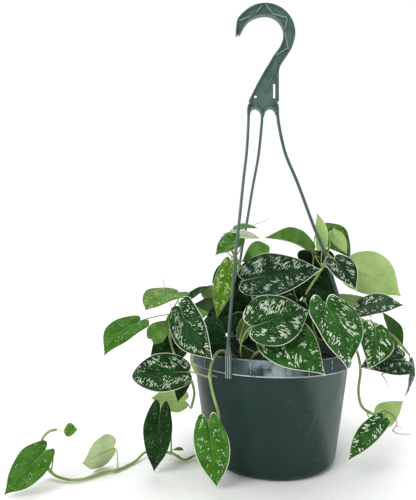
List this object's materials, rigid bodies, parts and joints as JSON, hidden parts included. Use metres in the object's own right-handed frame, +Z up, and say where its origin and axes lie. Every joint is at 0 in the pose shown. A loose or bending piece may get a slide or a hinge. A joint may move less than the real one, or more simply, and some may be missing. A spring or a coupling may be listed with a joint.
{
  "type": "potted trailing plant",
  "caption": "Satin pothos with silver-splashed heart-shaped leaves on trailing stems, in a green plastic hanging pot with a hook hanger.",
  "frame": {"origin": "centre of the pot's flat underside", "axes": "+Z up along the pot's axis, -Y towards the front, from where the long trailing stem runs out to -X along the ground"},
  "size_m": [0.391, 0.2306, 0.4799],
  "materials": {
    "pot_plastic": "satin moulded",
    "hanger_plastic": "satin moulded",
    "potting_mix": "rough",
    "stem": "smooth",
    "leaf": "satin"
  },
  "bodies": {
    "root": {"pot": "pot_plastic", "hanger": "hanger_plastic", "potting_mix": "potting_mix", "front_left_stem": "stem", "left_stem": "stem", "crown_stem": "stem", "front_stem": "stem", "upper_right_stem": "stem", "right_stem": "stem", "side_stem": "stem", "back_left_stem": "stem", "back_right_stem": "stem", "front_heart_leaf": "leaf", "front_silver_leaf": "leaf", "front_small_heart_leaf": "leaf", "front_curled_leaf": "leaf", "crown_silver_leaf": "leaf", "crown_plain_leaf": "leaf", "crown_pale_leaf": "leaf", "crown_top_leaf": "leaf", "hanging_leaf": "leaf", "hanging_back_leaf": "leaf", "flat_crown_leaf": "leaf", "upright_leaf": "leaf", "round_crown_leaf": "leaf", "folded_leaf": "leaf", "striped_leaf": "leaf", "big_pale_leaf": "leaf", "right_pointed_leaf": "leaf", "right_hanging_leaf": "leaf", "right_silver_leaf": "leaf", "right_plain_leaf": "leaf", "right_edge_leaf": "leaf", "low_right_leaf": "leaf", "low_right_pale_leaf": "leaf", "left_heart_leaf": "leaf", "left_upper_leaf": "leaf", "left_plain_leaf": "leaf", "left_big_leaf": "leaf", "left_thin_leaf": "leaf", "left_back_leaf": "leaf", "left_inner_leaf": "leaf", "low_pale_leaf": "leaf", "rim_leaf": "leaf", "bright_trailing_leaf": "leaf", "dark_trailing_leaf": "leaf", "bud_leaf": "leaf", "standing_leaf": "leaf", "far_leaf": "leaf", "new_leaf": "leaf", "back_left_side_leaf": "leaf", "back_left_rim_leaf": "leaf", "back_upper_leaf": "leaf", "back_left_low_leaf": "leaf", "back_crown_leaf": "leaf", "back_middle_leaf": "leaf", "back_right_rim_leaf": "leaf", "back_right_low_leaf": "leaf", "back_right_side_leaf": "leaf", "back_top_leaf": "leaf"}
  },
  "joints": []
}
